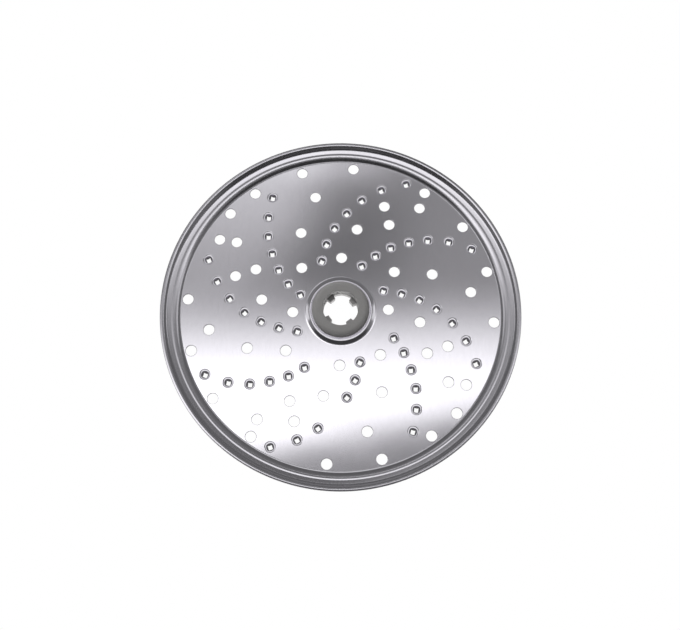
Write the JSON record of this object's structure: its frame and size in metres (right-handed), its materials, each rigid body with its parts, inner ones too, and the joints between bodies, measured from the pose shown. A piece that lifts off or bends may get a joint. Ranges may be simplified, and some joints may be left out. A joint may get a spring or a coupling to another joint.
{
  "type": "food processor grating disc",
  "caption": "Round steel grating disc with spiral arms of pierced burrs and round holes, a stepped rim and a grey plastic drive hub.",
  "frame": {"origin": "on the disc's axis, at the underside of the hub, which the disc rests on", "axes": "+Z along the axis, out of the hollow side that shows the hub's bore; +X and +Y in the plane of the disc"},
  "size_m": [0.175, 0.175, 0.0084],
  "materials": {
    "steel": "polished",
    "hub_plastic": "moulded"
  },
  "bodies": {
    "root": {"grating_disc": "steel", "hub": "hub_plastic"}
  },
  "joints": []
}
